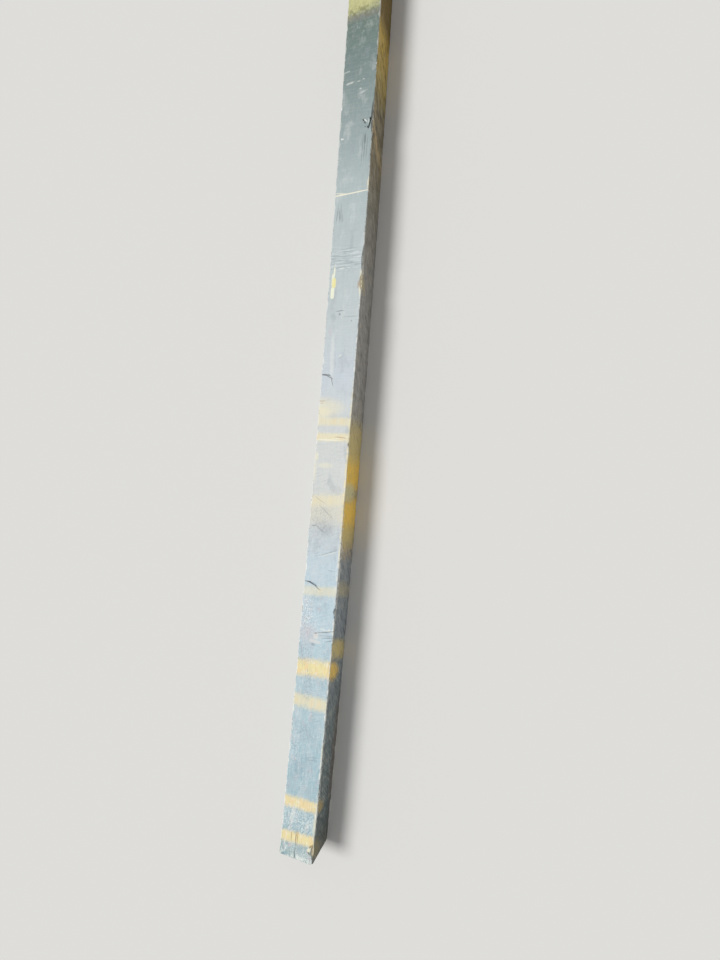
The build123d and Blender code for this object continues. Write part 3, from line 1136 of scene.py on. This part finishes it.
def lay_bare_wood(work):
    """Torn places that were painted over, and the newer chips: cream wood streaked brown. The
    insides of cracks and holes are painted nearly black, as painted shade."""
    torn = work.nodes.field("torn")
    fibres = work.noise(18, 1.6, 3, 0.6)
    work.lay((158, 160, 152), torn * 0.45)
    work.lay((96, 92, 80), torn * fibres.step(0.54, 0.66, 0.55))
    work.lay((206, 206, 190), torn * fibres.step(0.44, 0.34, 0.5))
    bare = work.nodes.field("bare")
    work.lay((242, 229, 194), bare * work.blotch.step(0.30, 0.46, 0.9))
    work.lay((140, 112, 76), bare * work.blotch.step(0.44, 0.34, 0.5))
    # Painted shade inside cracks, splits and holes.
    work.lay((34, 32, 28), work.nodes.field("dark"))


def lay_end_grain(work):
    """The sawn ends: growth rings round a heart low on the far side, browner wood in their dark
    halves, and a few drying checks that run out from the heart, painted dark as painted shade."""
    heart_y = 21
    heart_z = 30
    ring_gap = 5.2
    # Each check's direction from the heart, in radians, and its half width.
    checks = [(2.35, 1.2), (1.45, 0.8), (3.6, 0.9), (-0.6, 0.7), (0.5, 0.6)]
    nodes = work.nodes
    place = nodes.add("ShaderNodeTexCoord", None, None, "Object")
    y = nodes.add("ShaderNodeSeparateXYZ", None, {0: place}, 1) / MM - heart_y
    z = nodes.add("ShaderNodeSeparateXYZ", None, {0: place}, 2) / MM - heart_z
    away = y.math("SQRT", y * y + z * z)
    sockets = {"Vector": place, "Scale": 26.0, "Detail": 3.0}
    wander = nodes.add("ShaderNodeTexNoise", None, sockets) - 0.5
    rings = away.math("SINE", (wander * 9 + away) * (2 * pi / ring_gap))
    on_end = nodes.field("end")
    work.lay((150, 138, 118), on_end)
    work.lay((112, 92, 68), on_end * rings.step(0.1, 0.9, 0.75))
    turn = y.math("ARCTAN2", z, y)
    # The checks are painted dark: painted shade in their gaps.
    for angle, wide in checks:
        off_check = abs((turn - angle) * away + wander * 10)
        check = off_check.step(wide, wide * 0.4) * away.step(4, 12)
        work.lay((48, 42, 34), on_end * check * 0.9)
    work.lay((96, 94, 84), on_end * work.clouds.step(0.42, 0.62, 0.4))


def beam_finish():
    """Weathered paint over bare wood, with painted light and shade laid into its colour."""
    nodes = Nodes(bpy.data.materials.new("weathered_paint"))
    work = Paintwork(nodes)
    lay_ground(work)
    lay_tone(work)
    lay_saw_lines(work)
    lay_bands(work)
    lay_side_gold(work)
    lay_hidden_wear(work)
    lay_head(work)
    lay_wear(work)
    lay_marks(work)
    lay_bare_wood(work)
    lay_end_grain(work)
    grain = work.noise(45, 1.7, 3, 0.6)
    flakes = work.noise(8, 6, 3, 0.6)
    relief = nodes.add("ShaderNodeBump", None, {
        "Strength": 0.7,
        "Distance": 0.5 * MM,
        "Height": grain + flakes * 1.4,
    })
    shader = nodes.add("ShaderNodeBsdfPrincipled", None, {
        "Base Color": work.colour,
        "Roughness": 0.58 + 0.3 * work.blotch,
        "Normal": relief,
    })
    nodes.add("ShaderNodeOutputMaterial", None, {"Surface": shader})
    return nodes.owner


def make_floor():
    """A wide pale floor."""
    mesh = bpy.data.meshes.new("floor")
    corners = np.array([[-1, -1, 0], [1, -1, 0], [1, 1, 0], [-1, 1, 0]]) * 12.0
    mesh.from_pydata(corners.tolist(), [], [[0, 1, 2, 3]])
    floor = bpy.data.objects.new("floor", mesh)
    bpy.context.collection.objects.link(floor)
    nodes = Nodes(bpy.data.materials.new("pale_floor"))
    shader = nodes.add("ShaderNodeBsdfDiffuse", None, {"Color": paint(226, 225, 222)})
    nodes.add("ShaderNodeOutputMaterial", None, {"Surface": shader})
    mesh.materials.append(nodes.owner)


def light_scene():
    """An even sky, paler where it is seen or reflected than where it lights the beam, and
    one soft lamp from above the far side."""
    sky = 0.345
    backdrop = 0.76
    nodes = Nodes(bpy.data.worlds.new("studio"))
    seen = nodes.add("ShaderNodeLightPath", None, None, "Is Camera Ray")
    for ray in ("Is Glossy Ray", "Is Transmission Ray"):
        seen = seen.at_least(nodes.add("ShaderNodeLightPath", None, None, ray))
    sockets = {"Color": (1.0, 1.0, 1.0, 1.0), "Strength": seen * (backdrop - sky) + sky}
    shader = nodes.add("ShaderNodeBackground", None, sockets)
    nodes.add("ShaderNodeOutputWorld", None, {"Surface": shader})
    bpy.context.scene.world = nodes.owner
    lamp = bpy.data.lights.new("soft_lamp", "SUN")
    lamp.energy = 2.3
    lamp.angle = radians(24)
    turned = bpy.data.objects.new("soft_lamp", lamp)
    turned.rotation_euler = Vector((0.15, 0.62, 1.0)).to_track_quat("Z", "Y").to_euler()
    bpy.context.collection.objects.link(turned)


def place_camera():
    """The wide lens that looks down on the beam from beside it, as in the photo."""
    lens = bpy.data.cameras.new("camera")
    lens.sensor_fit = "VERTICAL"
    lens.sensor_height = 36.0
    lens.lens = 16.5
    camera = bpy.data.objects.new("camera", lens)
    right = (0.07716, -0.94001, -0.33230)
    up = (0.99668, 0.06404, 0.05028)
    back = (-0.02598, -0.33508, 0.94183)
    turn = Matrix((right, up, back)).transposed()
    camera.matrix_world = Matrix.Translation((-0.2669, -0.4653, 1.1493)) @ turn.to_4x4()
    bpy.context.collection.objects.link(camera)
    bpy.context.scene.camera = camera


bpy.context.scene.view_settings.view_transform = "Standard"
place_camera()
light_scene()
make_floor()
beam = make_beam()
beam.data.materials.append(beam_finish())
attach(beam, "root")
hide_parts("beam")
